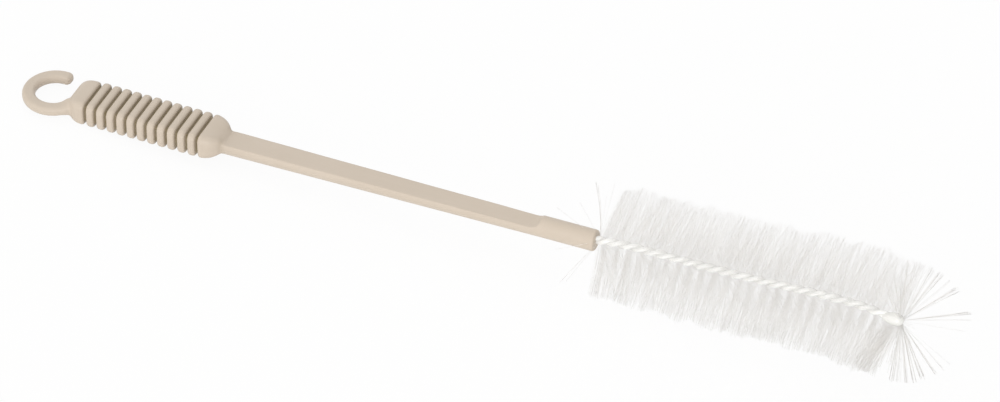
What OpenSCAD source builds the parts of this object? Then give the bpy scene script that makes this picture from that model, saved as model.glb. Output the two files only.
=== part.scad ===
// Bottle brush with a moulded hanging handle and a twisted-in-wire head.
// The brush is drawn along +X, from the back of its hook to its tip, with the
// handle's axis on y = 0, z = 0 and the stem's flat facing +Z. lay_down() then
// tips it onto its grip and its rearmost filaments, as it rests on a table,
// with the origin on the table below the middle of the brush.
// Sizes are in millimetres.

/* [Hook] */
// Inside radius of the hanging eye
eye_r = 8.2; // [7:0.1:14]
// Width of the hook's bar, seen from above
hook_w = 5.6; // [4:0.1:9]
// Thickness of the hook's bar
hook_t = 4.3; // [3:0.1:8]
// Rounding along the edges of the hook's bar
hook_round = 1.7; // [0.4:0.1:3]
// Angle of the hook's open end, counted from the tip of the brush
hook_end_angle = 91; // [60:1:120]
// Angle at which the hook's bar begins to flare into the block
hook_root_angle = 300; // [280:1:304]
// Sideways place of the eye's centre
eye_offset = 0.8; // [-2:0.1:2]
// Width of the flared root where it meets the block
root_w = 7.6; // [6:0.2:10]
// Thickness of the flared root where it meets the block
root_t = 7.5; // [5:0.5:9]

/* [Grip] */
// Width of the grip
grip_w = 20; // [16:0.5:26]
// Thickness of the grip
grip_t = 11.6; // [9:0.1:16]
// Corner radius of the grip's section
grip_round = 3; // [2.4:0.1:4.5]
// Gap between the eye's circle and the back of the block
eye_to_block = 0.2; // [0.1:0.1:0.8]
// Length of the block's rounded back end
back_end_l = 8.2; // [6:0.1:14]
// Fullness of the grip's rounded ends: 2 is elliptical, more is squarer
end_fullness = 2.4; // [2:0.1:3]
// Straight length of the block before the first groove
block_land = 1.2; // [0.5:0.1:8]
// Number of ribs
rib_count = 11; // [3:1:16]
// Width of one rib along the grip
rib_w = 3.3; // [2.4:0.1:6]
// Width of one groove
groove_w = 1.42; // [0.8:0.02:4]
// Height of a rib above the floor of its grooves
rib_h = 2; // [0.8:0.1:2.2]
// Rounding along a rib's rims
rib_round = 1.2; // [0.3:0.1:2]
// Length of the bulb's rounded front end
bulb_l = 10.5; // [7:0.1:18]

/* [Stem] */
// Distance from the last groove to the end of the stem's flat
stem_l = 152.4; // [80:0.1:240]
// Diameter of the stem at the bulb
stem_d_back = 11.3; // [9:0.1:13]
// Diameter of the stem at the socket, and of the socket
socket_d = 9.2; // [7.4:0.1:11]
// Height of the flat above the stem's axis, at the bulb
flat_h_back = 1.85; // [0.5:0.05:4]
// Height of the flat above the stem's axis, at the socket
flat_h_front = 1.5; // [0.5:0.05:3]
// Radius of the curved run-out at the end of the flat
runout_r = 4; // [3:0.1:12]
// Length of the round socket
socket_l = 24.1; // [16:0.1:40]
// Rounding of the socket's front rim
socket_round = 0.8; // [0.2:0.1:1.6]

/* [Wire] */
// Diameter of one strand of the coated wire
strand_d = 2.1; // [1.2:0.05:2.8]
// Length of one full turn of the twist
twist_pitch = 13.5; // [9:0.1:24]
// Length of wire held inside the socket
wire_seat = 18; // [8:0.5:30]
// Clearance around the twisted wire in the socket
seat_clearance = 0.05; // [0.02:0.01:0.3]

/* [Brush] */
// Length of the brush head, from the socket to the fold of the wire
brush_l = 134.3; // [60:0.1:220]
// Diameter of the head at the socket
brush_d_back = 48.7; // [30:0.1:70]
// Diameter of the head at the tip
brush_d_front = 51.4; // [30:0.1:80]
// Diameter of one filament
filament_d = 0.36; // [0.2:0.02:0.6]
// Spacing of the filaments along the wire
filament_step = 0.4; // [0.4:0.05:3]
// How much shorter the shortest filaments are
filament_ragged = 1.4; // [0:0.1:4]
// Length of the filaments that lean forward at the fold
fan_l = 26; // [10:0.5:40]
// Number of wire crossings that hold leaning filaments
fan_count = 10; // [4:1:12]
// Length of wire along which the filaments lean forward
fan_zone = 10; // [8:0.5:20]
// Lean of the foremost filaments, from square across the wire
fan_lean = 72; // [30:1:80]

/* [Hidden] */

BEIGE = [0.83, 0.78, 0.70];
WIRE_WHITE = [0.97, 0.97, 0.96];
NYLON_WHITE = [0.93, 0.93, 0.91];

eps = 0.01;
slice = 0.08;

// Hook
eye_x = eye_r + hook_w;
bar_r = eye_r + hook_w / 2;
hook_edge = min(hook_round, 0.45 * min(hook_w, hook_t));

// Grip
block_back_x = eye_x + eye_r + eye_to_block;
block_base_x = block_back_x + back_end_l;
// The bar's arc carries on into the block, and its flare ends well inside the block's back
root_depth = 2.5;
root_inset = 0.15;
root_end_angle = 360 - acos(min(0.92, (block_back_x + root_depth - eye_x) / (eye_r + root_w / 2)));
ribs_x = block_base_x + block_land;
rib_pitch = rib_w + groove_w;
ribs_l = rib_count * rib_pitch + groove_w;
bulb_x = ribs_x + ribs_l;
grip_flat_w = grip_w - 2 * grip_round;
grip_flat_t = grip_t - 2 * grip_round;
rim_edge = min(rib_round, 0.45 * rib_w, 0.9 * rib_h);

// Stem and socket. The stem is rooted inside the bulb.
stem_root = 1.2;
stem_root_d = lerp(stem_d_back, socket_d, stem_root / stem_l);
socket_x = bulb_x + stem_l;
socket_end_x = socket_x + socket_l;
flat_end_x = socket_x - sqrt(pow(runout_r, 2) - pow(max(0, runout_r - (socket_d / 2 - flat_h_front)), 2));

// Wire: two strands of one folded wire, a filament's width apart
filament_clearance = 0.02;
lay_r = (strand_d + filament_d) / 2 + filament_clearance;
rope_d = 2 * lay_r + strand_d;
fold_x = socket_end_x + brush_l - lay_r - strand_d / 2;
wire_back_x = socket_end_x - wire_seat;
bore_depth = wire_seat + 0.5;
calm_l = 3;
strand_sides = 10;
rings_per_turn = 14;
fold_rings = 8;

// Filaments
first_filament_x = socket_end_x + 1;
last_filament_x = fold_x - fan_zone - 2 * filament_d;
filament_count = floor((last_filament_x - first_filament_x) / filament_step) + 1;

// How the brush rests: on the block's edge and on the tip of the first filament
rest_tilt = atan((brush_d_back - grip_t) / 2 / (first_filament_x - block_base_x));
rest_lift = brush_d_back / 2 * cos(rest_tilt) - first_filament_x * sin(rest_tilt)
    + filament_d / 2 * sin(rest_tilt);

// How far the wire has turned at x. The twist dies away over the last few millimetres.
function wound(x) =
    let (calm_x = fold_x - calm_l, past = max(0, x - calm_x))
    x - pow(past, 2) / (2 * calm_l);
// Angle of the first strand about the axis: left-handed, and level at the first filament
function strand_angle(x) = -360 * (wound(x) - wound(first_filament_x)) / twist_pitch;
// Slope of a strand against the axis
function lay_slope(x) =
    2 * PI * lay_r / twist_pitch * (1 - max(0, x - (fold_x - calm_l)) / calm_l);
// Direction across the axis, at angle a
function across(a) = [0, cos(a), sin(a)];

function lerp(a, b, t) = a + (b - a) * t;
function unit(v) = v / norm(v);
function brush_r(x) =
    lerp(brush_d_back, brush_d_front, (x - first_filament_x) / (last_filament_x - first_filament_x)) / 2;
// A repeatable spread of values from 0 to 1
function scatter(i) = abs(sin(137.508 * i));

// Leaning filaments: how far along the zone each one stands, and its place, lean and length
fan_root_r = 0.9;
function fan_along(i) = i / (fan_count - 1);
function fan_x(i) = fold_x - fan_zone * (1 - fan_along(i));
function fan_tilt(i, side) = lerp(6, fan_lean, fan_along(i)) - 3 * scatter(i + side);
function fan_reach(i, side) = fan_l - 2.5 * scatter(3 * i + side);

// Length of the whole brush as it lies on the table
overall_l = max([for (i = [0:fan_count - 1], side = [0, 1])
    let (out = (fan_root_r + fan_reach(i, side) * cos(fan_tilt(i, side)))
            * cos(strand_angle(fan_x(i)) + 180 * side))
    (fan_x(i) + fan_reach(i, side) * sin(fan_tilt(i, side))) * cos(rest_tilt) - out * sin(rest_tilt)
]);

module rounded_rect(w, h, r) {
    union() {
        square([w - 2 * r, h], center = true);
        square([w, h - 2 * r], center = true);
        for (sx = [-1, 1], sy = [-1, 1])
            translate([sx * (w / 2 - r), sy * (h / 2 - r)]) circle(r, $fn = 48);
    }
}

// A thin slice across the handle: rounded, w wide and t thick
module cross_slice(w, t, r) {
    for (sy = [-1, 1], sz = [-1, 1])
        translate([0, sy * (w / 2 - r), sz * (t / 2 - r)])
            rotate([0, 90, 0]) cylinder(h = slice, r = r, $fn = 32);
}

// The half-egg that closes each end of the grip, l long, growing towards +X
module egg_end(l) {
    steps = 9;
    hull() for (i = [0:steps]) {
        a = 90 * i / steps;
        along = pow(sin(a), 2 / end_fullness);
        around = pow(cos(a), 2 / end_fullness);
        w = max(grip_w * around, 0.6);
        t = max(grip_t * around, 0.6);
        r = min(lerp(grip_round, grip_t / 2, along), 0.498 * t);
        translate([l * along, 0, 0]) cross_slice(w, t, r);
    }
}

// The grip's length in outline: a core with ribs that reach out to half_w
module ribs_outline(half_w) {
    translate([0, ribs_l / 2]) square([2 * (half_w - rib_h), ribs_l + 2 * eps], center = true);
    for (i = [0:rib_count - 1])
        translate([0, groove_w + rib_w / 2 + i * rib_pitch]) rounded_rect(2 * half_w, rib_w, rim_edge);
}

// Ribs and grooves run round the section at one depth: flat sides and turned corners
module ribbed_grip() {
    translate([ribs_x, 0, 0]) rotate([0, 90, 0]) rotate([0, 0, 90]) union() {
        translate([0, grip_flat_t / 2, 0]) rotate([90, 0, 0])
            linear_extrude(height = grip_flat_t) ribs_outline(grip_w / 2);
        translate([-grip_flat_w / 2, 0, 0]) rotate([90, 0, 90])
            linear_extrude(height = grip_flat_w) ribs_outline(grip_t / 2);
        for (corner = [0:3]) {
            sx = corner == 0 || corner == 3 ? 1 : -1;
            sy = corner < 2 ? 1 : -1;
            translate([sx * grip_flat_w / 2, sy * grip_flat_t / 2, 0])
                rotate([0, 0, 90 * corner])
                rotate_extrude(angle = 90, $fn = 96) intersection() {
                    ribs_outline(grip_round);
                    translate([0, -1]) square([grip_round + 1, ribs_l + 2]);
                }
        }
    }
}

module hook_section() {
    rounded_rect(hook_w, hook_t, hook_edge);
}

// The hook's bar, from its rounded end round the back to the root
module hook() {
    translate([eye_x, eye_offset, 0]) {
        rotate([0, 0, hook_end_angle])
            rotate_extrude(angle = root_end_angle - hook_end_angle, $fn = 180)
                translate([bar_r, 0]) hook_section();
        rotate([0, 0, hook_end_angle]) translate([bar_r, 0, 0]) rotate([0, 0, 180])
            rotate_extrude(angle = 180, $fn = 96) intersection() {
                hook_section();
                translate([0, -hook_t]) square([hook_w, 2 * hook_t]);
            }
    }
}

// A thin slice of the root, a fraction f of the way along its flare
module root_slice(f) {
    w = lerp(hook_w - 2 * root_inset, root_w, f * f);
    t = lerp(hook_t - 2 * root_inset, root_t, f * f);
    translate([eye_x, eye_offset, 0]) rotate([0, 0, lerp(hook_root_angle, root_end_angle, f)])
        translate([eye_r + root_inset + w / 2, 0, 0]) rotate([0, 0, 90])
        cross_slice(w, t, min(hook_edge, 0.48 * t));
}

// The root flares from the bar's section into the back of the block
module hook_root() {
    steps = 3;
    for (i = [0:steps - 1]) hull() {
        root_slice(i / steps);
        root_slice((i + 1) / steps);
    }
}

module stem() {
    difference() {
        union() {
            translate([bulb_x + stem_root, 0, 0]) rotate([0, 90, 0])
                cylinder(h = stem_l - stem_root, d1 = stem_root_d, d2 = socket_d, $fn = 96);
            translate([socket_x - 1, 0, 0]) rotate([0, 90, 0])
                rotate_extrude($fn = 96) socket_profile();
        }
        rotate([90, 0, 0]) linear_extrude(height = 2 * grip_w, center = true) flat_cutter();
    }
}

module socket_profile() {
    edge = socket_round;
    r = socket_d / 2;
    l = socket_l + 1;
    union() {
        square([r, l - edge]);
        square([r - edge, l]);
        translate([r - edge, l - edge]) circle(edge, $fn = 48);
    }
}

// What the flat removes, seen from the side: it ends in a concave run-out
module flat_cutter() {
    top = grip_t + runout_r;
    polygon([
        [bulb_x - 1, flat_h_back],
        [flat_end_x, flat_h_front],
        [flat_end_x, top],
        [bulb_x - 1, top]
    ]);
    translate([flat_end_x, flat_h_front + runout_r]) circle(runout_r, $fn = 96);
    translate([flat_end_x - eps, flat_h_front + runout_r])
        square([runout_r + eps, top - flat_h_front - runout_r]);
}

module handle() {
    color(BEIGE) lay_down() difference() {
        union() {
            hook();
            hook_root();
            translate([block_base_x, 0, 0]) mirror([1, 0, 0]) egg_end(back_end_l);
            translate([block_base_x - eps, 0, 0]) rotate([0, 90, 0]) rotate([0, 0, 90])
                linear_extrude(height = block_land + eps) rounded_rect(grip_w, grip_t, grip_round);
            ribbed_grip();
            translate([bulb_x, 0, 0]) egg_end(bulb_l);
            stem();
        }
        translate([socket_end_x - bore_depth, 0, 0]) rotate([0, 90, 0])
            cylinder(h = bore_depth + 1, d = rope_d + 2 * seat_clearance, $fn = 64);
    }
}

// Rings of the folded wire: out along one strand, round the fold, and back along the other.
// Each ring is its centre, the direction away from the axis, and the third direction.
lay_steps = ceil((fold_x - wire_back_x) / twist_pitch * rings_per_turn);

function strand_ring(x, side) =
    let (a = strand_angle(x) + (side > 0 ? 0 : 180),
         out = across(a),
         round = across(a + 90),
         tilt = unit(round + [lay_slope(x), 0, 0]))
    [[x, 0, 0] + lay_r * out, out, side * tilt];

function fold_ring(b) =
    let (u = across(strand_angle(fold_x)), out = [sin(b), 0, 0] + cos(b) * u)
    [[fold_x, 0, 0] + lay_r * out, out, across(strand_angle(fold_x) + 90)];

wire_rings = concat(
    [for (i = [0:lay_steps - 1]) strand_ring(lerp(wire_back_x, fold_x, i / lay_steps), 1)],
    [for (i = [0:fold_rings]) fold_ring(180 * i / fold_rings)],
    [for (i = [lay_steps - 1:-1:0]) strand_ring(lerp(wire_back_x, fold_x, i / lay_steps), -1)]
);

module core_wire() {
    n = strand_sides;
    rings = len(wire_rings);
    points = [
        for (ring = wire_rings, k = [0:n - 1])
            ring[0] + strand_d / 2 * (cos(360 * k / n) * ring[1] + sin(360 * k / n) * ring[2])
    ];
    sides = [
        for (j = [0:rings - 2], k = [0:n - 1])
            let (a = j * n + k, b = j * n + (k + 1) % n)
            each [[a, b, b + n], [a, b + n, a + n]]
    ];
    back = [for (k = [n - 1:-1:0]) k];
    front = [for (k = [0:n - 1]) (rings - 1) * n + k];
    color(WIRE_WHITE) lay_down() polyhedron(points, concat(sides, [back], [front]));
}

// Each filament passes between the strands, so the rows follow the twist
module bristles() {
    color(NYLON_WHITE) lay_down() for (i = [0:filament_count - 1]) {
        x = first_filament_x + i * filament_step;
        trim = i == 0 ? 0 : filament_ragged * scatter(i);
        translate([x, 0, 0]) rotate([strand_angle(x), 0, 0])
            cylinder(h = 2 * brush_r(x) - trim, d = filament_d, center = true, $fn = 16);
    }
}

// The filaments in the last turns lean forward, more and more towards the fold
module tip_bristles() {
    color(NYLON_WHITE) lay_down() for (i = [0:fan_count - 1], side = [0, 1])
        translate([fan_x(i), 0, 0]) rotate([strand_angle(fan_x(i)) + 180 * side, 0, 0])
            translate([0, 0, fan_root_r]) rotate([0, fan_tilt(i, side), 0])
            cylinder(h = fan_reach(i, side), d = filament_d, $fn = 16);
}

// Rest the brush on the table, centred on the origin
module lay_down() {
    translate([-overall_l / 2, 0, rest_lift]) rotate([0, -rest_tilt, 0]) children();
}

handle();
core_wire();
bristles();
tip_bristles();
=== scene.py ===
"""Bottle brush: a moulded hanging handle and a twisted-in-wire head.

The brush is modelled along +X in its own frame, from the back of its hook to its tip, with the
handle's axis on y = 0, z = 0 and the stem's flat facing +Z. Each finished piece is then laid down
on the table as the CAD frame has it.
"""

import math

import bmesh
import bpy
import numpy as np
from bpy.props import FloatProperty, FloatVectorProperty, IntProperty, PointerProperty
from mathutils import Matrix, Vector


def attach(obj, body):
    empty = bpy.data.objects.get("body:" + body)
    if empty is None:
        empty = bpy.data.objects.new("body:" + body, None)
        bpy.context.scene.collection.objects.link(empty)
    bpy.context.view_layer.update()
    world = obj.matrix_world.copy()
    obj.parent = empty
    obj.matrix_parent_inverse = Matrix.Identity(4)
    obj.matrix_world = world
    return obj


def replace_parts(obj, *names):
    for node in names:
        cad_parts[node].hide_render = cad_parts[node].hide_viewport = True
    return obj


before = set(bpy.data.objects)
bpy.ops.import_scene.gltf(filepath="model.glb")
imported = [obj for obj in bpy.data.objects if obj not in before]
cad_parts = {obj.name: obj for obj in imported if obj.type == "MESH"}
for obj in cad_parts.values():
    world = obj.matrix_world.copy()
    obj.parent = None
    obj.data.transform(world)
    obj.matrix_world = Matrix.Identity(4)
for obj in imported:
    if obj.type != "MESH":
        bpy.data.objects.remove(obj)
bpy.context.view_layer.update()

bl_info = {
    "name": "Bottle Brush",
    "version": (1, 0, 0),
    "blender": (4, 5, 0),
    "location": "View3D > Sidebar > Brush",
    "description": "Builds a bottle brush: a moulded handle, a twisted wire and nylon filaments",
    "category": "Add Mesh",
}

MM = 0.001
# From the back of the hook to the frame's origin, along the table
BACK_TO_MIDDLE = 207.539 * MM
# Thickness of the CAD's filaments, the lowest of which rests on the table
CAD_FILAMENT_D = 0.36 * MM
# Two points nearer to each other than this are one
SAME = 1e-6
# Place along the brush and sideways stray of the wire, both in millimetres, and the stray's turn
# about the axis
WANDER = ((0, 0), (238, 0), (262, 0.3), (268, 1.2), (279, 1.6), (297, 1.5), (315, 1.55),
          (333, 1.85), (350, 2.55), (368, 3.0), (380, 2.6), (388, 1.5), (396, 0.6), (420, 0.6))
WANDER_TURN = math.radians(52.6)


def length(name, description, mm):
    """A size in millimetres, kept in metres."""
    return FloatProperty(name=name, description=description, default=mm * MM, min=0.0,
                         unit="LENGTH", subtype="DISTANCE", precision=5)


def degrees(name, description, value):
    return FloatProperty(name=name, description=description, default=math.radians(value),
                         unit="ROTATION", subtype="ANGLE")


def number(name, description, value):
    return FloatProperty(name=name, description=description, default=value, min=0.0, precision=4)


def count(name, description, value):
    return IntProperty(name=name, description=description, default=value, min=1)


def colour(name, description, rgb):
    return FloatVectorProperty(name=name, description=description, default=rgb, size=3, min=0.0,
                               max=1.0, subtype="COLOR")


class HandleSizes(bpy.types.PropertyGroup):
    eye_r: length("Eye radius", "Inside radius of the hanging eye", 8.2)
    hook_w: length("Bar width", "Width of the hook's bar, seen from above", 5.6)
    hook_t: length("Bar thickness", "Thickness of the hook's bar", 4.3)
    hook_round: length("Bar rounding", "Rounding along the edges of the hook's bar", 1.7)
    hook_end: degrees("Open end", "Angle of the hook's open end, from the brush's axis", 87)
    hook_end_l: length("Open end length", "Length of the open end's rounding", 2.576)
    hook_fullness: number("Open end fullness", "2 is an elliptical end, more is squarer", 2.3)
    root_start: degrees("Root start", "Angle where the bar begins to flare into the block", 300)
    root_end: degrees("Root end", "Angle where the flare ends inside the block", 335)
    root_w: length("Root width", "Width of the flared root inside the block", 7.6)
    root_t: length("Root thickness", "Thickness of the flared root inside the block", 7.5)
    eye_offset: length("Eye offset", "Sideways place of the eye's centre", 0.8)
    block_x: length("Block", "Where the block reaches its full section", 30.4)
    back_end_l: length("Back end", "Length of the block's rounded back end", 8.2)
    block_land: length("Land", "Straight length of the block before the first groove", 1.33)
    grip_w: length("Grip width", "Width of the grip", 20)
    grip_t: length("Grip thickness", "Thickness of the grip", 11.6)
    grip_round: length("Grip corner", "Corner radius of the grip's section", 3)
    end_fullness: number("Back fullness", "2 is an elliptical end, more is squarer", 2.4)
    far_fullness: number("Far fullness", "Fullness of the back end's far side", 4.4)
    far_width: number("Far width", "Width of the block's far side, as a part of the near", 0.95)
    bulb_fullness: number("Bulb fullness", "2 is an elliptical end, more is squarer", 2.15)
    grip_turn: degrees("Grip turn", "How far the grip is out of line with the stem", 0.85)
    ribs: count("Ribs", "Number of ribs", 11)
    rib_w: length("Rib width", "Width of one rib along the grip", 3.55)
    groove_w: length("Groove width", "Width of one groove", 1.17)
    rib_h: length("Rib height", "Height of a rib above the groove floors", 2)
    rib_round: length("Rib rounding", "Rounding along a rib's rims", 1.7)
    bulb_l: length("Bulb", "Length of the bulb's rounded front end", 10.5)
    stem_l: length("Stem", "Distance from the last groove to the end of the flat", 152.53)
    stem_d: length("Stem diameter", "Diameter of the stem at the bulb", 11.3)
    flat_back: length("Flat, back", "Height of the flat above the axis, at the bulb", 1.85)
    flat_front: length("Flat, front", "Height of the flat above the axis, at the socket", 1.5)
    runout_r: length("Run-out", "Radius of the curved run-out at the end of the flat", 4)
    socket_d: length("Socket diameter", "Diameter of the socket", 9.2)
    socket_l: length("Socket length", "Length of the round socket", 24.1)
    socket_round: length("Socket rim", "Rounding of the socket's front rim", 0.8)
    edge_break: length("Flat's edges", "Rounding along the flat's two long edges", 0.6)
    skin: length("Skin", "Grid size of the moulding's blended skin", 0.3)


class WireSizes(bpy.types.PropertyGroup):
    strand_d: length("Strand", "Diameter of one coated strand", 2.12)
    lay_r: length("Lay radius", "Radius of the strands' centrelines about the axis", 0.8)
    pitch: length("Pitch", "Length of one full turn of the twist", 10.85)
    phase: degrees("Phase", "Turn of the twist at the first filament", 56)
    calm_l: length("Calm length", "Length over which the twist dies away at the fold", 1.4)
    drop_d: length("Drop diameter", "Diameter of the drop of coating over the fold", 5.3)
    drop_front: number("Drop front", "How far the drop's front half is drawn out", 1.2)
    drop_back: number("Drop back", "How far the drop's rear half is drawn out", 2.4)
    drop_behind: length("Drop place", "How far behind the fold the drop's middle lies", 0.7)
    seat_l: length("Seat", "Length of wire held inside the socket", 18)
    fold_x: length("Fold", "Where the wire folds back on itself", 393.44)


class HeadSizes(bpy.types.PropertyGroup):
    back_d: length("Back diameter", "Diameter of the head at the socket", 48.7)
    front_d: length("Front diameter", "Diameter of the head at the tip", 51.4)
    filament_d: length("Filament", "Diameter of one filament", 0.055)
    filaments: count("Filaments", "Arms of filament along the wire", 8400)
    ragged: length("Ragged ends", "How much shorter the shortest filaments are", 2)
    tooth_l: length("Tooth", "Length of one bump in the head's ragged outline", 2.8)
    teeth: count("Teeth", "Bumps in the ragged outline, once round the head", 13)
    spread: degrees("Spread", "How far filaments stray round the axis from the twist", 45)
    lean_scatter: degrees("Lean scatter", "How much filaments differ in their lean", 4)
    aim_scatter: degrees("Aim scatter", "How much a tuft's filaments differ round the axis", 7)
    bow: length("Bow", "How far the tips bow forwards or back", 0.9)
    sway: length("Sway", "How far the tips bow round the axis", 1.1)
    calm_l: length("Calm length", "Length at the socket over which the scatter grows", 12)
    fan_zone: length("Fan zone", "Length of wire at the fold that is left to the tip's fan", 2.5)


class Finishes(bpy.types.PropertyGroup):
    plastic: colour("Handle", "Moulded plastic of the handle", (0.575, 0.495, 0.41))
    # The groove colour is painted shade, mixed in on the groove floors and in the corner at the
    # stem's root.
    groove: colour("Grooves", "Handle plastic in the depth of the grooves", (0.2, 0.155, 0.075))
    wire: colour("Wire", "Coating of the wire", (0.905, 0.905, 0.895))
    nylon: colour("Filaments", "Nylon of the filaments", (1.0, 0.992, 0.98))
    floor: colour("Floor", "Floor under the brush", (0.9, 0.9, 0.9))


# ---------------- the brush's own frame

def handle_sizes():
    return bpy.context.scene.brush_handle


def wire_sizes():
    return bpy.context.scene.brush_wire


def head_sizes():
    return bpy.context.scene.brush_head


def finishes():
    return bpy.context.scene.brush_finishes


def bulb_x():
    """Where the bulb begins, at the last groove's front wall."""
    h = handle_sizes()
    return h.block_x + h.block_land + h.ribs * (h.rib_w + h.groove_w) + h.groove_w


def socket_x():
    return bulb_x() + handle_sizes().stem_l


def socket_end_x():
    return socket_x() + handle_sizes().socket_l


def first_filament_x():
    return socket_end_x() + 1 * MM


def lay_matrix():
    """Brush frame to table: it lies on the block's lower edge and on the first filament."""
    h, head = handle_sizes(), head_sizes()
    run = first_filament_x() - h.block_x
    tilt = math.atan((head.back_d - h.grip_t) / 2 / run)
    lift = (head.back_d / 2 * math.cos(tilt) - first_filament_x() * math.sin(tilt)
            + CAD_FILAMENT_D / 2 * math.sin(tilt))
    return Matrix.Translation((-BACK_TO_MIDDLE, 0, lift)) @ Matrix.Rotation(-tilt, 4, "Y")


def wander(x):
    """How far the wire strays from a straight line at x, and which way."""
    x = np.asarray(x, float) / MM
    softened = (-4, -2, 0, 2, 4)
    stray = sum(np.interp(x + d, *zip(*WANDER)) for d in softened) / len(softened) * MM
    return stray, np.array([0, math.cos(WANDER_TURN), math.sin(WANDER_TURN)])


def wire_middle(x):
    """The middle of the wire at one x."""
    stray, way = wander(x)
    return Vector((x, 0, 0)) + Vector(way * stray)


def strand_angle(x):
    """Turn of the first strand about the wire: left-handed, and dying away at the fold."""
    wire = wire_sizes()

    def wound(at):
        past = np.maximum(0, at - (wire.fold_x - wire.calm_l))
        return at - past ** 2 / (2 * wire.calm_l)
    turns = (wound(np.asarray(x, float)) - wound(first_filament_x())) / wire.pitch
    return wire.phase - 2 * math.pi * turns


# ---------------- modelling by operators

def object_mode():
    if bpy.context.object and bpy.context.object.mode != "OBJECT":
        bpy.ops.object.mode_set(mode="OBJECT")


def ready():
    """Leaves edit mode and selects nothing."""
    object_mode()
    bpy.ops.object.select_all(action="DESELECT")


def only(*objects):
    """Selects just these objects and makes the first one active."""
    ready()
    for o in objects:
        o.select_set(True)
    bpy.context.view_layer.objects.active = objects[0]


def started(name):
    """The primitive just added, named, with its scale and turn in its mesh."""
    o = bpy.context.object
    o.name = o.data.name = name
    only(o)
    bpy.ops.object.transform_apply(location=True, rotation=True, scale=True)
    return o


def edit(o):
    only(o)
    bpy.ops.object.mode_set(mode="EDIT")


def pick(o, mode, test):
    """In edit mode, selects the vertices, edges or faces for which test is true."""
    bpy.ops.mesh.select_mode(type=mode)
    bpy.ops.mesh.select_all(action="DESELECT")
    mesh = bmesh.from_edit_mesh(o.data)
    mesh.normal_update()
    found = {"VERT": mesh.verts, "EDGE": mesh.edges, "FACE": mesh.faces}[mode]
    hits = [item for item in found if test(item)]
    for item in hits:
        item.select_set(True)
    mesh.select_flush_mode()
    bmesh.update_edit_mesh(o.data)
    if not hits:
        raise RuntimeError(f"nothing to select on {o.name}")


def middle(item):
    return sum((v.co for v in item.verts), Vector()) / len(item.verts)


def modifier(o, kind, **settings):
    """Adds a modifier, sets it and applies it."""
    only(o)
    m = o.modifiers.new(kind.title(), kind)
    for key, value in settings.items():
        setattr(m, key, value)
    bpy.ops.object.modifier_apply(modifier=m.name)


def cut(o, cutter):
    modifier(o, "BOOLEAN", object=cutter, operation="DIFFERENCE", solver="EXACT")
    bpy.data.objects.remove(cutter)


def joined(*objects):
    only(*objects)
    bpy.ops.object.join()
    return objects[0]


def smooth(o):
    only(o)
    bpy.ops.object.shade_smooth()


def laid_down(o, material):
    """Finishes a piece modelled in the brush's frame and lays it on the table."""
    smooth(o)
    o.matrix_world = lay_matrix()
    bpy.ops.object.transform_apply(location=True, rotation=True, scale=True)
    o.data.materials.append(material)


def sewn():
    """In edit mode, merges doubled points and turns the faces outwards."""
    bpy.ops.mesh.select_all(action="SELECT")
    bpy.ops.mesh.remove_doubles(threshold=SAME)
    bpy.ops.mesh.normals_make_consistent(inside=False)


def rings_at(places, axis=Vector((1, 0, 0))):
    """In edit mode, cuts a new ring across the whole mesh at each place along the axis."""
    for place in places:
        bpy.ops.mesh.select_all(action="SELECT")
        bpy.ops.mesh.bisect(plane_co=axis * place, plane_no=axis)


def point_values(o, name, values):
    """Keeps a number for each point of the mesh, for a material to read."""
    layer = o.data.attributes.new(name, "FLOAT", "POINT")
    layer.data.foreach_set("value", np.asarray(values, np.float32))


# ---------------- the handle's solids

def drawn_out(centre, reach, fullness, steps, last):
    """Draws the selected flat face out along reach into a superelliptical end, as a stack of
    shrinking extrusions. The last face is this part of the first."""
    before = (0.0, 1.0)
    for i in range(1, steps + 1):
        a = 0.5 * math.pi * i / steps
        along = math.sin(a) ** (2 / fullness)
        around = max(max(math.cos(a), 0.0) ** (2 / fullness), last)
        bpy.ops.mesh.extrude_region_move(
            TRANSFORM_OT_translate={"value": reach * (along - before[0])})
        bpy.ops.transform.resize(value=(around / before[1],) * 3,
                                 center_override=centre + reach * along)
        before = (along, around)


def rounded_end(o, start_x, end_l, way, fullness):
    """Rounds off the grip's flat end at start_x. way is 1 for the front and -1 for the back."""
    pick(o, "FACE", lambda f: abs(f.calc_center_median().x - start_x) < 10 * SAME
         and f.normal.x * way > 0.9)
    drawn_out(Vector((start_x, 0, 0)), Vector((way * end_l, 0, 0)), fullness, 12, 0.03)


def grip_matrix():
    """Turns the grip about the bulb, a little out of line with the stem."""
    about = Matrix.Translation((bulb_x(), 0, 0))
    return about @ Matrix.Rotation(-handle_sizes().grip_turn, 4, "Z") @ about.inverted()


def section_depth(y, z):
    """How deep points lie under the surface of the grip's section."""
    h = handle_sizes()
    y = np.abs(y) - (h.grip_w / 2 - h.grip_round)
    z = np.abs(z) - (h.grip_t / 2 - h.grip_round)
    out = np.where((y > 0) & (z > 0), np.hypot(y, z), np.maximum(y, z))
    return h.grip_round - out


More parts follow.
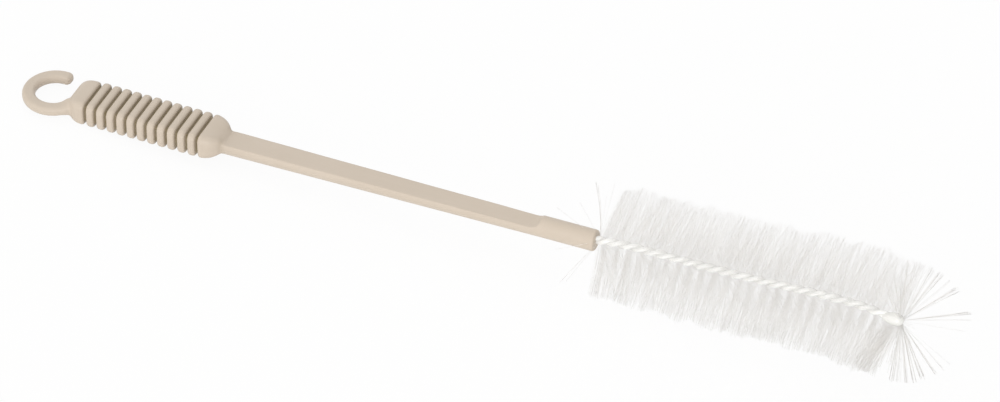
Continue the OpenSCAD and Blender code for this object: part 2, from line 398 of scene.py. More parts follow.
def grip_solid():
    """The ribbed grip, from the block's rounded back to the bulb's rounded front."""
    h = handle_sizes()
    x0, x1 = h.block_x, bulb_x()
    bpy.ops.mesh.primitive_cube_add(size=1, location=((x0 + x1) / 2, 0, 0),
                                    scale=(x1 - x0, h.grip_w, h.grip_t))
    o = started("grip_solid")
    edit(o)
    pick(o, "EDGE", lambda e: abs(e.verts[0].co.x - e.verts[1].co.x) > (x1 - x0) / 2)
    bpy.ops.mesh.bevel(offset=h.grip_round, segments=8, affect="EDGES")
    rounded_end(o, x0, h.back_end_l, -1, h.end_fullness)
    rounded_end(o, x1, h.bulb_l, 1, h.bulb_fullness)
    starts = [x0 + h.block_land + i * (h.rib_w + h.groove_w) for i in range(h.ribs + 1)]
    rims = [x for start in starts for x in (start, start + h.groove_w)]
    rings_at([x for x in rims if x < x1 - SAME])

    def in_groove(f):
        x = f.calc_center_median().x
        return abs(f.normal.x) < 0.5 and any(
            start + SAME < x < start + h.groove_w - SAME for start in starts)

    pick(o, "FACE", in_groove)
    bpy.ops.mesh.extrude_region_shrink_fatten(
        TRANSFORM_OT_shrink_fatten={"value": -h.rib_h, "use_even_offset": True})

    def on_rim(e):
        a, b = e.verts[0].co, e.verts[1].co
        if abs(a.x - b.x) > SAME or not any(abs(a.x - x) < SAME for x in rims):
            return False
        return max(section_depth(p.y, p.z) for p in (a, b)) < 10 * SAME

    pick(o, "EDGE", on_rim)
    bpy.ops.mesh.bevel(offset=h.rib_round, segments=6, affect="EDGES", clamp_overlap=True)
    object_mode()
    square_far_side(o)
    o.data.transform(grip_matrix())
    return o


def square_far_side(o):
    """Makes the far side of the block's back end squarer than its near side, and narrower."""
    h = handle_sizes()
    most = 1.5

    def width(f, fullness):
        return max(1 - f ** fullness, 1e-3) ** (1 / fullness)

    for v in o.data.vertices:
        if v.co.y > 0 and v.co.x < h.block_x + h.block_land:
            f = min(1, max(0, h.block_x - v.co.x) / h.back_end_l)
            wider = width(f, h.far_fullness) / width(f, h.end_fullness)
            v.co.y *= h.far_width * min(wider, most)


def hook_solid():
    """The hook's bar spun round the eye, with a rounded open end and a flared root."""
    h = handle_sizes()
    eye = Vector((h.eye_r + h.hook_w, h.eye_offset, 0))
    bar_r = h.eye_r + h.hook_w / 2
    bpy.ops.mesh.primitive_plane_add(size=1, location=(0, 0, 0))
    o = started("hook_solid")
    start = h.hook_end
    out = Vector((math.cos(start), math.sin(start), 0))
    for v in o.data.vertices:
        v.co = eye + out * (bar_r + v.co.x * h.hook_w) + Vector((0, 0, v.co.y * h.hook_t))
    edit(o)
    pick(o, "VERT", lambda v: True)
    bpy.ops.mesh.bevel(offset=h.hook_round, segments=7, affect="VERTICES")
    bpy.ops.mesh.select_all(action="SELECT")
    bpy.ops.mesh.spin(steps=72, angle=start - h.root_end, center=eye, axis=(0, 0, 1))
    # Flare: rings past root_start widen outwards from the eye's wall, and thicken
    mesh = bmesh.from_edit_mesh(o.data)
    for v in mesh.verts:
        away = v.co - eye
        turn = math.atan2(away.y, away.x) % (2 * math.pi)
        f = max(0.0, (turn - h.root_start) / (h.root_end - h.root_start))
        wide = 1 + f * f * (h.root_w / h.hook_w - 1)
        thick = 1 + f * f * (h.root_t / h.hook_t - 1)
        r = math.hypot(away.x, away.y)
        r = h.eye_r + (r - h.eye_r) * wide
        v.co = eye + Vector((math.cos(turn) * r, math.sin(turn) * r, away.z * thick))
    bmesh.update_edit_mesh(o.data)
    # The open end, drawn out round
    centre = eye + out * bar_r
    back = Vector((math.sin(start), -math.cos(start), 0))
    pick(o, "VERT", lambda v: abs((v.co - centre).dot(back)) < SAME and (v.co - eye).dot(out) > 0)
    bpy.ops.mesh.select_mode(type="FACE")
    bpy.ops.mesh.edge_face_add()
    drawn_out(centre, back * h.hook_end_l, h.hook_fullness, 8, 0.05)
    # The bar's other end is closed inside the block
    bpy.ops.mesh.select_mode(type="VERT")
    sewn()
    bpy.ops.mesh.select_all(action="DESELECT")
    bpy.ops.mesh.select_non_manifold()
    bpy.ops.mesh.edge_face_add()
    sewn()
    object_mode()
    return o


def flat_cutter():
    """The block that takes the flat off the stem. Its front lower edge leaves the run-out."""
    h = handle_sizes()
    x0 = bulb_x() - 1 * MM
    r = h.runout_r
    depth = h.socket_d / 2 - h.flat_front
    x1 = socket_x() - math.sqrt(r ** 2 - max(0, r - depth) ** 2) + r
    top = h.grip_t
    bpy.ops.mesh.primitive_cube_add(size=1, location=((x0 + x1) / 2, 0, top / 2),
                                    scale=(x1 - x0, 2 * h.grip_w, top))
    o = started("flat_cutter")
    slope = (h.flat_front - h.flat_back) / h.stem_l
    for v in o.data.vertices:
        if v.co.z < top / 2:
            v.co.z = h.flat_back + slope * (v.co.x - bulb_x())
    edit(o)
    pick(o, "EDGE", lambda e: abs(middle(e).x - x1) < 10 * SAME and middle(e).z < top / 2
         and abs(e.verts[0].co.y - e.verts[1].co.y) > h.grip_w)
    bpy.ops.mesh.bevel(offset=r, segments=10, affect="EDGES")
    object_mode()
    return o


def stem_solid():
    """The tapering bar with its flat and run-out, and the socket at its end."""
    h = handle_sizes()
    inside_bulb, inside_socket = 1.2 * MM, 0.5 * MM
    rings = 24
    x0, x1 = bulb_x() + inside_bulb, socket_x() + inside_socket
    d0 = h.stem_d + (h.socket_d - h.stem_d) * inside_bulb / h.stem_l
    bpy.ops.mesh.primitive_cone_add(vertices=96, radius1=d0 / 2, radius2=h.socket_d / 2,
                                    depth=x1 - x0, location=((x0 + x1) / 2, 0, 0),
                                    rotation=(0, math.pi / 2, 0))
    stem = started("stem_solid")
    edit(stem)
    rings_at([x0 + (x1 - x0) * i / rings for i in range(1, rings)])
    object_mode()
    cut(stem, flat_cutter())
    edit(stem)

    def flat_edge(e):
        """One of the flat's two long edges, which are broken."""
        p, q = e.verts[0].co, e.verts[1].co
        if abs(p.x - q.x) < 10 * SAME or len(e.link_faces) != 2:
            return False
        sharp = math.radians(20)
        return e.calc_face_angle(0) > sharp and middle(e).x < socket_x() - h.runout_r

    pick(stem, "EDGE", flat_edge)
    bpy.ops.mesh.bevel(offset=h.edge_break, segments=3, affect="EDGES", clamp_overlap=True)
    object_mode()

    l0, l1 = socket_x(), socket_end_x()
    bpy.ops.mesh.primitive_cylinder_add(vertices=96, radius=h.socket_d / 2, depth=l1 - l0,
                                        location=((l0 + l1) / 2, 0, 0),
                                        rotation=(0, math.pi / 2, 0))
    socket = started("socket_solid")
    edit(socket)
    pick(socket, "EDGE", lambda e: all(abs(v.co.x - l1) < SAME for v in e.verts))
    bpy.ops.mesh.bevel(offset=h.socket_round, segments=5, affect="EDGES")
    object_mode()
    return joined(stem, socket)


class BRUSH_OT_handle(bpy.types.Operator):
    """Mould the handle: hook, block, ribbed grip, bulb, flat-topped stem and socket in one piece"""
    bl_idname = "brush.handle"
    bl_label = "Handle"

    def execute(self, context):
        ready()
        relaxed, blended, kept_faces = 5, 45, 0.4
        o = joined(grip_solid(), hook_solid(), stem_solid())
        o.name = o.data.name = "moulded_handle"
        # One skin over the overlapping solids, relaxed so that every inner corner has its fillet
        modifier(o, "REMESH", mode="VOXEL", voxel_size=handle_sizes().skin)
        modifier(o, "SMOOTH", factor=0.5, iterations=relaxed)
        near_joins(o)
        modifier(o, "SMOOTH", factor=0.5, iterations=blended, vertex_group="joins")
        modifier(o, "DECIMATE", ratio=kept_faces)
        paint_groove_shade(o)
        laid_down(o, handle_plastic())
        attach(o, "root")
        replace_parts(o, "handle")
        return {"FINISHED"}


def near_joins(o):
    """Groups the points near the two inner corners: the hook's root and the stem's root."""
    h = handle_sizes()
    hook_root, stem_root = h.block_x - 0.75 * h.back_end_l, bulb_x() + 0.6 * h.bulb_l
    group = o.vertex_groups.new(name="joins")
    for x, half in ((hook_root, 4.2 * MM), (stem_root, 5.5 * MM)):
        for v in o.data.vertices:
            weight = 1 - abs(v.co.x - x) / half
            if weight > 0:
                group.add([v.index], min(1, 2 * weight), "REPLACE")


def paint_groove_shade(o):
    """Keeps how deep each point lies in a groove, from 0 on the rims to 1 on the floor, for the
    painted shade on the groove floors. The corner where the stem leaves the bulb counts as a
    shallow one and gets painted shade too."""
    h = handle_sizes()
    corner_w, corner_shade = 1.7 * MM, 0.42
    co = np.empty(len(o.data.vertices) * 3, np.float32)
    o.data.vertices.foreach_get("co", co)
    back = np.array(grip_matrix().inverted())
    x, y, z = back[:3, :3] @ co.reshape(-1, 3).T + back[:3, 3:]
    ribbed = (x > h.block_x) & (x < bulb_x() + h.skin)
    groove = np.where(ribbed, np.clip(section_depth(y, z) / h.rib_h, 0, 1), 0)
    # Painted shade in the corner where the stem leaves the bulb
    off = np.hypot(x - bulb_x() - 0.86 * h.bulb_l, np.hypot(y, z) - 0.5 * h.stem_d)
    corner = corner_shade * np.exp(-(off / corner_w) ** 2)
    point_values(o, "groove", np.maximum(groove, corner))


# ---------------- the wire

class BRUSH_OT_wire(bpy.types.Operator):
    """Fold one coated wire on itself and twist its two strands together"""
    bl_idname = "brush.wire"
    bl_label = "Wire"

    def execute(self, context):
        ready()
        wire = wire_sizes()
        back_x = socket_end_x() - wire.seat_l
        steps, fold_steps = 340, 14
        xs = [back_x + (wire.fold_x - back_x) * i / steps for i in range(steps)]

        def out(x):
            """From the wire's middle to the middle of the first strand."""
            turn = float(strand_angle(x))
            return Vector((0, math.cos(turn), math.sin(turn))) * wire.lay_r

        turns = [math.pi * i / fold_steps for i in range(fold_steps + 1)]
        fold = [wire_middle(wire.fold_x) + Vector((wire.lay_r * math.sin(turn), 0, 0))
                + out(wire.fold_x) * math.cos(turn) for turn in turns]
        path = ([wire_middle(x) + out(x) for x in xs] + fold
                + [wire_middle(x) - out(x) for x in reversed(xs)])

        bpy.ops.curve.primitive_nurbs_path_add()
        o = bpy.context.object
        curve = o.data
        curve.splines.clear()
        spline = curve.splines.new("POLY")
        spline.points.add(len(path) - 1)
        spline.points.foreach_set("co", [c for p in path for c in (*p, 1.0)])
        curve.dimensions = "3D"
        curve.bevel_depth = wire.strand_d / 2
        curve.bevel_resolution = 3
        curve.use_fill_caps = True
        only(o)
        bpy.ops.object.convert(target="MESH")
        o = bpy.context.object
        # The tube's two caps are sewn on
        edit(o)
        sewn()
        object_mode()
        o = joined(o, drop_solid())
        o.name = o.data.name = "twisted_wire"
        laid_down(o, wire_coating())
        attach(o, "root")
        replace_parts(o, "core_wire")
        return {"FINISHED"}


def drop_solid():
    """The drop of coating over the fold: round in front, and drawn out along the rope behind."""
    wire = wire_sizes()
    bpy.ops.mesh.primitive_uv_sphere_add(segments=48, ring_count=30, radius=wire.drop_d / 2,
                                         rotation=(0, math.pi / 2, 0))
    o = started("drop")
    edit(o)
    for side, stretch in ((1, wire.drop_front), (-1, wire.drop_back)):
        pick(o, "VERT", lambda v: v.co.x * side > SAME)
        bpy.ops.transform.resize(value=(stretch, 1, 1), center_override=(0, 0, 0))
    object_mode()
    # Marks the drop for the painted shade that greys it in the coating's material
    point_values(o, "drop", np.ones(len(o.data.vertices)))
    o.location = wire_middle(wire.fold_x - wire.drop_behind)
    return o


# ---------------- the filaments

def filament_shape():
    """The points and faces of one filament, 1 long and about 1 in radius, on its root along +Z."""
    segments, pinch = 3, 0.25
    bpy.ops.mesh.primitive_cone_add(vertices=3, radius1=0.8, radius2=1.35, depth=1,
                                    location=(0, 0, 0.5))
    o = started("filament")
    edit(o)
    rings_at([i / segments for i in range(1, segments)], Vector((0, 0, 1)))
    sewn()
    # Pinched at the root, where the strands press the filaments together
    pick(o, "VERT", lambda v: v.co.z < SAME)
    bpy.ops.transform.resize(value=(pinch, pinch, 1), center_override=(0, 0, 0))
    object_mode()
    points = np.array([v.co for v in o.data.vertices])
    # Filaments lays the shape out in a left-handed frame, so its faces are turned over
    faces = [list(reversed(f.vertices)) for f in o.data.polygons]
    bpy.data.objects.remove(o)
    return points, faces


class Filaments:
    """Many filaments gathered into one mesh: each has a root, a direction, a length and a bow."""

    def __init__(self, seed):
        self.rows = []
        self.random = np.random.default_rng(seed)

    def add(self, x, turn, lean, reach, thick, bow=0.0, sway=0.0, root_r=0.0, root_turn=None):
        """turn is the angle about the axis and lean the angle forwards. bow carries the tip
        forwards and sway carries it round. All in radians and metres."""
        self.rows.append((x, turn, lean, reach, thick, bow, sway, root_r,
                          turn if root_turn is None else root_turn))

    def build(self, name):
        points, shape_faces = filament_shape()
        x, turn, lean, reach, thick, bow, sway, root_r, root_turn = (
            column[:, None] for column in np.array(self.rows).T)
        n, k = len(self.rows), len(points)

        def aimed(angle):
            """Arrows square to the axis, each at its angle about it."""
            return np.hstack([np.zeros((n, 1)), np.cos(angle), np.sin(angle)])

        # Each filament's own directions: along it, across it forwards, and round the axis
        out, ahead = aimed(turn), np.array([[1.0, 0.0, 0.0]])
        along = out * np.cos(lean) + ahead * np.sin(lean)
        across = ahead * np.cos(lean) - out * np.sin(lean)
        around = aimed(turn + math.pi / 2)
        stray, way = wander(x)
        root = ahead * x + aimed(root_turn) * root_r + way * stray
        spin = self.random.uniform(0, 2 * math.pi, n)[:, None]
        px, py, t = points.T
        forwards = (px * np.cos(spin) - py * np.sin(spin)) * thick / 2 + t ** 2 * bow
        sideways = (px * np.sin(spin) + py * np.cos(spin)) * thick / 2 + t ** 2 * sway
        p = (root[:, None] + along[:, None] * (t * reach)[..., None]
             + across[:, None] * forwards[..., None] + around[:, None] * sideways[..., None])
        lay = np.array(lay_matrix())
        p = p.reshape(-1, 3) @ lay[:3, :3].T + lay[:3, 3]
        # Those that would reach through the table bend along it
        floor, give = 0.05 * MM, 0.02
        p[:, 2] = np.where(p[:, 2] < floor, floor + (floor - p[:, 2]) * give, p[:, 2])
        faces = [[i * k + v for v in face] for i in range(n) for face in shape_faces]
        mesh = bpy.data.meshes.new(name)
        mesh.from_pydata(p.tolist(), [], faces)
        mesh.update()
        mesh.materials.append(nylon())
        o = bpy.data.objects.new(name, mesh)
        bpy.context.scene.collection.objects.link(o)
        point_values(o, "shade", np.repeat(self.random.uniform(0, 1, n), k))
        point_values(o, "along", np.tile(t, n))
        smooth(o)
        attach(o, "root")
        return o


def head_r(x):
    head = head_sizes()
    f = (x - first_filament_x()) / (wire_sizes().fold_x - first_filament_x())
    return (head.back_d + (head.front_d - head.back_d) * f) / 2


# Place from the first filament in millimetres, then the lean forwards in degrees: all round, more
# of it where the wire bows to, and more of it a quarter turn on
LEANS = ((0, 9, 4, 12), (15, 6, 4, 5), (40, 4, 6, 4), (90, 4, 6, 4), (115, 2, 9, 4),
         (131, -1, 13, 8))


def head_lean(x, turn):
    places, *columns = zip(*LEANS)
    all_round, bow_side, quarter_on = (np.interp(x / MM, places, column) for column in columns)
    turn -= WANDER_TURN
    return math.radians(all_round + bow_side * math.cos(turn) + quarter_on * math.sin(turn))


class Bumps:
    """Soft random bumps, from 0 to 1, over a sheet that is rolled into a tube."""

    def __init__(self, rng, along, around):
        self.grid = rng.uniform(0, 1, (int(along) + 2, around))

    def at(self, u, v):
        """u runs from 0 to 1 along the tube, and v from 0 to 1 round it."""
        rows, columns = self.grid.shape
        a, b = min(max(u, 0), 1) * (rows - 1.001), (v % 1) * columns
        i, j = int(a), int(b)
        fa, fb = a - i, b - j
        left, right = self.grid[i:i + 2, j % columns], self.grid[i:i + 2, (j + 1) % columns]
        upper, lower = left * (1 - fb) + right * fb
        return upper * (1 - fa) + lower * fa


STRAY_D = 0.1 * MM
# Strays that lean back over the socket: turn about the axis and lean in degrees, length and bow in
# millimetres, thickness as a part of STRAY_D
STRAYS = (
    (55, -10, 23.8, -3.8, 2.8), (56, -8, 22.6, -3.4, 2.0), (66, -38, 18.0, -0.8, 1.1),
    (84, -63, 22.5, 0.4, 1.0), (-141, -29, 24.0, 0.5, 1.7), (-139, -25, 22.0, 0.3, 1.2),
    (47, -2, 24.6, 0.4, 0.9), (170, -38, 21.0, -0.8, 1.0), (-60, -31, 22.5, 0.9, 1.0),
    (12, -17, 23.5, 0.6, 1.0),
)


def splayed(turn):
    """How far the table pushes the tip of a filament that points at it to the side."""
    most, reach = 5 * MM, 0.6
    straight_down = -math.pi / 2
    off = (turn - straight_down + math.pi) % (2 * math.pi) - math.pi
    return math.copysign(most, off) * math.exp(-(off / reach) ** 2)


class BRUSH_OT_filaments(bpy.types.Operator):
    """Set the filaments between the wire's strands, in tufts that follow the twist"""
    bl_idname = "brush.filaments"
    bl_label = "Filaments"

    def execute(self, context):
        ready()
        wire, head = wire_sizes(), head_sizes()
        rng = np.random.default_rng(7)
        x0, x1 = first_filament_x(), wire.fold_x - head.fan_zone
        per_tuft, least_calm = 2, 0.25
        tufts = head.filaments // per_tuft
        halves = Filaments(8), Filaments(9)
        trim = Bumps(rng, (x1 - x0) / head.tooth_l, head.teeth)
        for i in range(tufts):
            x = x0 + (x1 - x0) * (i + rng.uniform(0, 1)) / tufts
            crop = halves[i * 2 // tufts]
            # The two grooves between the strands take turns
            groove = float(strand_angle(x)) + math.pi / 2 + math.pi * (i % 2)
            turn = groove + rng.normal(0, head.spread)
            if rng.uniform() < self.sparseness(x - x0, turn) or self.in_drop(x, turn):
                continue
            calm = max(least_calm, min(1, (x - x0) / head.calm_l))
            lean = head_lean(x - x0, turn) + rng.normal(0, head.lean_scatter) * calm
            for _ in range(per_tuft):
                own = lean + rng.normal(0, head.lean_scatter) * calm
                aim = turn + rng.normal(0, head.aim_scatter)
                bow = rng.normal(0, head.bow) * calm
                sway = splayed(turn) + rng.normal(0, head.sway)
                # The ragged outline belongs to the place of the tip, not of the root
                tip_x = x + head_r(x) * math.tan(own) + bow
                tip_turn = aim + sway / head_r(x)
                tooth = trim.at((tip_x - x0) / (x1 - x0), tip_turn / (2 * math.pi))
                short = head.ragged * min(max(1.8 * tooth - 0.4, 0), 1)
                trimmed = 0.5 * MM + short + abs(rng.normal(0, 0.15 * MM))
                crop.add(x + rng.normal(0, 0.2 * MM), aim, own,
                         (head_r(x) - trimmed) / math.cos(own),
                         head.filament_d * rng.uniform(0.85, 1.15), bow, sway,
                         rng.uniform(0.7, 1.3) * MM, groove + rng.normal(0, 0.15))
        for turn, lean, reach, bow, thick in STRAYS:
            halves[0].add(x0 + 0.6 * MM, math.radians(turn), math.radians(lean), reach * MM,
                          STRAY_D * thick, bow * MM, 0.3 * bow * MM)
        for crop, name in zip(halves, ("filaments_back", "filaments_front")):
            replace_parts(crop.build(name), "bristles")
        return {"FINISHED"}

    def sparseness(self, x, turn):
        """Share of tufts left out: most at the back, on the side that the wire bows to."""
        mean = 0.135 - 0.05 * min(1, x / (60 * MM))
        return mean * (1 + math.cos(turn - WANDER_TURN))

    def in_drop(self, x, turn):
        """Whether a tuft would come out through the near side of the drop of coating."""
        near_side = WANDER_TURN + math.pi / 2
        return x > wire_sizes().fold_x - 7 * MM and math.cos(turn - near_side) > 0.35


FAN_D = 0.12 * MM
# The tip's clumps: turn and lean in degrees, length in millimetres, filaments in the clump, how far
# they spread in degrees, and how far back along the wire their roots go in millimetres
CLUMPS = (
    (47, 4, 24.6, 8, 3.5, 1), (44, 12, 24.2, 4, 0.8, 0), (43, 15, 25.0, 4, 0.8, 0),
    (41, 21, 24.8, 6, 0.8, 0), (40, 25, 25.2, 6, 0.7, 0), (36, 34, 25.2, 2, 0.4, 0),
    (31, 42, 26.2, 7, 0.5, 0), (30, 45, 26.0, 3, 0.4, 0), (12, 62, 28.2, 4, 0.4, 0),
    (9, 63, 28.3, 4, 0.3, 0), (2, 66, 28.1, 3, 0.3, 0), (-25, 72, 25.8, 1, 0.2, 0),
    (-100, 60, 26.0, 1, 0.2, 0), (-106, 54, 26.2, 3, 0.3, 0), (-114, 45, 24.9, 8, 0.4, 0),
    (-119, 35, 24.4, 7, 0.5, 0), (-120, 32, 24.2, 4, 0.5, 0), (-122, 28, 24.6, 3, 0.4, 0),
    (-124, 25, 24.6, 8, 0.5, 0), (-126, 18, 24.3, 9, 0.5, 0), (-128, 13, 24.0, 3, 0.4, 0),
    (-129, 10, 24.0, 3, 0.5, 0), (-130, 5, 24.1, 8, 0.5, 0), (-132, 1, 23.8, 4, 0.5, 0),
    (-136, -12, 21.5, 2, 0.4, 0), (-137, -16, 24.4, 3, 0.6, 0), (-135, -21, 24.8, 9, 2.0, 3),
    (-134, -20, 24.6, 30, 3.0, 5), (-132, -18, 24.6, 34, 5.0, 11), (50, -4, 24.2, 12, 4.0, 2),
    (100, -8, 24.0, 24, 6.0, 2), (-165, -14, 24.2, 24, 6.0, 3), (-90, -12, 24.4, 20, 6.0, 2),
    (-50, -14, 24.4, 20, 6.0, 2), (5, -12, 24.4, 20, 6.0, 2),
)


class BRUSH_OT_fan(bpy.types.Operator):
    """Open the last filaments forwards in clumps, past the wire's fold"""
    bl_idname = "brush.fan"
    bl_label = "Tip fan"

    def execute(self, context):
        ready()
        wire = wire_sizes()
        front_root = wire.fold_x + 2.2 * MM
        crop = Filaments(19)
        rng = crop.random
        for turn, lean, reach, many, spread, back in CLUMPS:
            bow, sway = rng.normal(0, 0.3 * MM, 2)
            for _ in range(many):
                crop.add(front_root - (rng.uniform(0, 0.8) + rng.uniform(0, back)) * MM,
                         math.radians(turn + rng.normal(0, 1.3 * spread)),
                         math.radians(lean + rng.normal(0, spread)),
                         reach * MM * rng.uniform(0.93, 1.0), FAN_D * rng.uniform(0.8, 1.1),
                         bow + rng.normal(0, 0.2 * MM), sway + rng.normal(0, 0.2 * MM), wire.lay_r)
        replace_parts(crop.build("tip_fan"), "tip_bristles")
        return {"FINISHED"}


# ---------------- materials

class Value:
    """A number socket that takes part in Python expressions."""

    def __init__(self, graph, socket):
        self.graph, self.socket = graph, socket

    def math(self, operation, *others, clamp=False):
        node = self.graph.node("Math", dict(enumerate(others)), operation=operation,
                               use_clamp=clamp)
        return Value(self.graph, node.outputs[0])

    def __add__(self, other):
        return self.math("ADD", self, other)

    def __mul__(self, other):
        return self.math("MULTIPLY", self, other)

    def __sub__(self, other):
        return self.math("SUBTRACT", self, other)

    def __rsub__(self, other):
        return self.math("SUBTRACT", other, self)

    def __pow__(self, other):
        return self.math("POWER", self, other)

    __radd__ = __add__
    __rmul__ = __mul__

    def clamped(self):
        return self.math("ADD", self, 0.0, clamp=True)


class Graph:
    """The nodes of one material or world."""

    def __init__(self, owner, output="OutputMaterial"):
        if isinstance(owner, str):
            owner = bpy.data.materials.new(owner)
        self.owner = owner
        owner.use_nodes = True
        self.tree = owner.node_tree
        self.tree.nodes.clear()
        self.out = self.node(output)

    def node(self, kind, inputs=None, **settings):
        """Adds a node with its settings and with a value or a link for each of these inputs."""
        node = self.tree.nodes.new("ShaderNode" + kind)
        for key, value in settings.items():
            setattr(node, key, value)
        for key, value in (inputs or {}).items():
            if isinstance(key, str):
                target = next(s for s in node.inputs if s.name == key and s.enabled)
            else:
                target = node.inputs[key]
            if isinstance(value, Value):
                value = value.socket
            if isinstance(value, bpy.types.NodeSocket):
                self.tree.links.new(value, target)
            elif target.type == "RGBA" and len(value) == 3:
                target.default_value = (*value, 1)
            else:
                target.default_value = value
        return node

    def place(self):
        return self.node("TexCoord").outputs["Object"]

    def noise(self, vector, scale, detail=2.0, roughness=0.5):
        """Noise about 0: from -1 to 1, mostly near 0."""
        node = self.node("TexNoise", {"Vector": vector, "Scale": scale, "Detail": detail,
                                      "Roughness": roughness})
        return Value(self, node.outputs["Fac"]) * 2 - 1

    def attribute(self, name):
        node = self.node("Attribute", attribute_name=name)
        return Value(self, node.outputs["Fac"])

    def mix(self, factor, a, b):
        """Colour a where factor is 0 and b where it is 1."""
        node = self.node("Mix", {"Factor": factor, "A": a, "B": b}, data_type="RGBA")
        return next(s for s in node.outputs if s.enabled)

    def bump(self, height, distance, strength, under=None):
        inputs = {"Height": height, "Distance": distance, "Strength": strength}
        if under is not None:
            inputs["Normal"] = under
        return self.node("Bump", inputs).outputs["Normal"]

    def blend(self, factor, a, b):
        """Shader a where factor is 0 and b where it is 1."""
        return self.node("MixShader", {0: factor, 1: a.outputs[0], 2: b.outputs[0]})

    def seen_rays(self, direct=1.0, through=1.0):
        """How white a ray finds it: one from the camera, one off something shiny and one through
        something clear."""
        path = self.node("LightPath")
        seen, glossy, clear = (Value(self, path.outputs[name]) for name in (
            "Is Camera Ray", "Is Glossy Ray", "Is Transmission Ray"))
        return (seen * direct + glossy + clear * through).clamped()

    def surface(self, shader):
        self.tree.links.new(shader.outputs[0], self.out.inputs["Surface"])
        return self.owner


def tinted(rgb, by):
    return tuple(min(1.0, c * k) for c, k in zip(rgb, by))


def handle_plastic():
    """Satin moulded plastic: faint flow marks, a fine grain, and painted shade on the groove floors
    and in the corner at the stem's root.
    """
    f = finishes()
    g = Graph("moulded_plastic")
    at = g.place()
    base = tuple(f.plastic)
    clouds = g.noise(at, 38.0, 3.0, 0.55)
    grain = g.noise(at, 1500.0)
    specks = g.noise(at, 620.0, 4.0, 0.6)
    flow = g.node("Mapping", {"Vector": at, "Scale": (0.12, 1.0, 1.0)})
    streaks = g.noise(flow.outputs[0], 260.0, 3.0)
    deep = g.attribute("groove")
    tone = (0.5 + clouds * 0.55 + streaks * 0.25 + specks * 0.22).clamped()
    body = g.mix(tone, tinted(base, (0.955, 0.95, 0.935)), tinted(base, (1.035, 1.04, 1.05)))
    # Painted shade: the groove colour mixed in deep in the grooves and at the stem's root
    shade = (deep ** 2.1 * (0.92 + specks * 0.25)).clamped()
    skin_colour = g.mix(shade, body, tuple(f.groove))
    roughness = (0.40 + clouds * 0.06 + specks * 0.08 + deep * 0.18).clamped()
    waves = g.bump(g.noise(at, 300.0), 0.03 * MM, 0.5)
    fine = g.bump(grain, 0.012 * MM, 0.55, waves)
    return g.surface(g.node("BsdfPrincipled", {
        "Base Color": skin_colour, "Roughness": roughness, "IOR": 1.49,
        "Specular IOR Level": 0.45, "Normal": fine}))


def wire_coating():
    """Glossy white coating, a little uneven, with painted shade that makes the drop greyer than the
    strands.
    """
    f = finishes()
    g = Graph("wire_coating")
    at = g.place()
    base = tuple(f.wire)
    clouds = g.noise(at, 160.0, 3.0)
    specks = g.noise(at, 1300.0, 3.0)
    tone = (0.5 + clouds * 0.5 + specks * 0.3).clamped()
    strand = g.mix(tone, tinted(base, (0.985, 0.985, 0.98)), tinted(base, (1.02, 1.02, 1.02)))
    # Painted shade: the drop is the same coating as the strands, painted greyer
    coating = g.mix(g.attribute("drop"), strand, tinted(base, (0.88, 0.88, 0.86)))
    roughness = (0.26 + clouds * 0.08 + specks * 0.06).clamped()
    normal = g.bump(g.noise(at, 700.0), 0.04 * MM, 0.4)
    return g.surface(g.node("BsdfPrincipled", {
        "Base Color": coating, "Roughness": roughness, "IOR": 1.5, "Normal": normal,
        "Coat Roughness": 0.12, "Coat Weight": 0.35}))


def nylon():
    """Milky white nylon: light passes through it, each filament has its own tone, and the roots are
    painted a little darker as shade near the wire.
    """
    name = "nylon_filament"
    if name in bpy.data.materials:
        return bpy.data.materials[name]
    f = finishes()
    g = Graph(name)
    base = tuple(f.nylon)
    own = g.attribute("shade")
    along = g.attribute("along")
    # Painted shade: each filament is a little darker towards its root near the wire
    tone = (own * 0.75 + along * 0.25).clamped()
    milk = g.mix(tone, tinted(base, (0.992, 0.99, 0.988)), base)
    roughness = (0.30 + own * 0.15).clamped()
    normal = g.bump(g.noise(g.place(), 2600.0), 0.02 * MM, 0.4)
    face = g.node("BsdfPrincipled", {
        "Base Color": milk, "Roughness": roughness, "IOR": 1.53, "Normal": normal})
    through = g.node("BsdfTranslucent", {"Color": base, "Normal": normal})
    glow = (0.86 + along * 0.04).clamped()
    return g.surface(g.blend(glow, face, through))


def floor_paper():
    """White paper that shows as nearly pure white but keeps part of the brush's shadow."""
    f = finishes()
    g = Graph("floor_paper")
    grain = g.noise(g.place(), 90.0, 3.0)
    pulp = g.mix((0.5 + grain * 0.3).clamped(), tinted(f.floor, (0.995,) * 3), tuple(f.floor))
    paper = g.node("BsdfPrincipled", {
        "Base Color": pulp, "Roughness": 1.0, "Specular IOR Level": 0.0})
    white = g.node("Emission", {"Color": (1, 1, 1), "Strength": 1.0})
    return g.surface(g.blend(g.seen_rays(0.93, 0.7), paper, white))


# ---------------- the stage

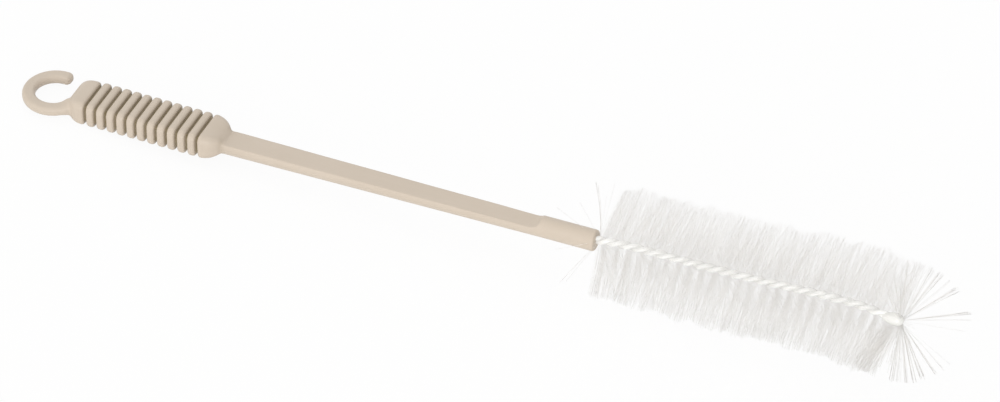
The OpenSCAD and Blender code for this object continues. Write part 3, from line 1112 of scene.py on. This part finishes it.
class BRUSH_OT_stage(bpy.types.Operator):
    """Lay white paper under the brush, hang soft lamps round it and place the camera"""
    bl_idname = "brush.stage"
    bl_label = "Stage"

    def execute(self, context):
        ready()
        self.floor()
        self.world(context.scene)
        self.lamps()
        self.camera(context.scene)
        context.scene.view_settings.view_transform = "Standard"
        return {"FINISHED"}

    def floor(self):
        bpy.ops.mesh.primitive_plane_add(size=14, location=(0, 0, 0))
        o = started("floor")
        o.data.materials.append(floor_paper())

    def world(self, scene):
        """White to the camera and to clear or shiny things. Its light comes more from the near left
        than from the far right."""
        scene.world = bpy.data.worlds.new("studio")
        g = Graph(scene.world, "OutputWorld")
        white = g.node("Background", {"Color": (1, 1, 1), "Strength": 1.0})
        aim = g.node("TexCoord").outputs["Generated"]
        right, away = (
            Value(g, g.node("VectorMath", {0: aim, 1: axis}, operation="DOT_PRODUCT").outputs[1])
            for axis in ((1, 0, 0), (0, 1, 0)))
        strength = 0.885 - right * 0.3 - away * 0.35
        light = g.node("Background", {"Color": (1.0, 0.99, 0.975), "Strength": strength})
        g.surface(g.blend(g.seen_rays(), light, white))

    def lamps(self):
        for name, place, width, power in (
                ("front_lamp", (0.45, -1.6, 0.25), 1.3, 10.5),
                ("top_lamp", (-0.2, 0.25, 1.7), 1.2, 1.5),
                ("back_lamp", (-0.5, 1.5, 0.9), 1.2, 2.0)):
            bpy.ops.object.light_add(type="AREA", location=place)
            lamp = bpy.context.object
            lamp.name = name
            lamp.data.shape = "DISK"
            lamp.data.size = width
            lamp.data.energy = power
            lamp.rotation_euler = Vector(place).to_track_quat("Z", "Y").to_euler()
            lamp.visible_camera = False

    def camera(self, scene):
        """A long lens, aimed at the middle of the brush in the brush's own frame."""
        az, el = math.radians(22.9), math.radians(39.7)
        distance = 2.8
        aim = Vector((215.3, 7.255, 0.876)) * MM
        right = Vector((math.cos(az), math.sin(az), 0))
        look = Vector((-math.sin(az) * math.cos(el), math.cos(az) * math.cos(el), -math.sin(el)))
        up = right.cross(look)
        place = aim - look * distance
        turn = Matrix((right, up, -look)).transposed().to_4x4()
        data = bpy.data.cameras.new("camera")
        data.sensor_width = 36.0
        data.lens = 243.4
        data.clip_start, data.clip_end = 0.05, 50
        cam = bpy.data.objects.new("camera", data)
        scene.collection.objects.link(cam)
        cam.matrix_world = lay_matrix() @ Matrix.Translation(place) @ turn
        scene.camera = cam


# ---------------- panel and registration

class BRUSH_PT_panel(bpy.types.Panel):
    """Lists the brush's pieces and sizes"""
    bl_idname = "BRUSH_PT_panel"
    bl_label = "Bottle Brush"
    bl_space_type = "VIEW_3D"
    bl_region_type = "UI"
    bl_category = "Brush"

    def draw(self, context):
        for operator in PIECES:
            self.layout.operator(operator.bl_idname)
        for name, sizes in GROUPS.items():
            box = self.layout.box()
            for key in sizes.__annotations__:
                box.prop(getattr(context.scene, name), key)


GROUPS = {"brush_handle": HandleSizes, "brush_wire": WireSizes, "brush_head": HeadSizes,
          "brush_finishes": Finishes}
PIECES = (BRUSH_OT_handle, BRUSH_OT_wire, BRUSH_OT_filaments, BRUSH_OT_fan, BRUSH_OT_stage)
CLASSES = (*GROUPS.values(), *PIECES, BRUSH_PT_panel)


def register():
    for cls in CLASSES:
        bpy.utils.register_class(cls)
    for name, group in GROUPS.items():
        setattr(bpy.types.Scene, name, PointerProperty(type=group))


def unregister():
    for name in GROUPS:
        delattr(bpy.types.Scene, name)
    for cls in reversed(CLASSES):
        bpy.utils.unregister_class(cls)


def main():
    register()
    bpy.ops.brush.handle()
    bpy.ops.brush.wire()
    bpy.ops.brush.filaments()
    bpy.ops.brush.fan()
    bpy.ops.brush.stage()


if __name__ == "__main__":
    main()
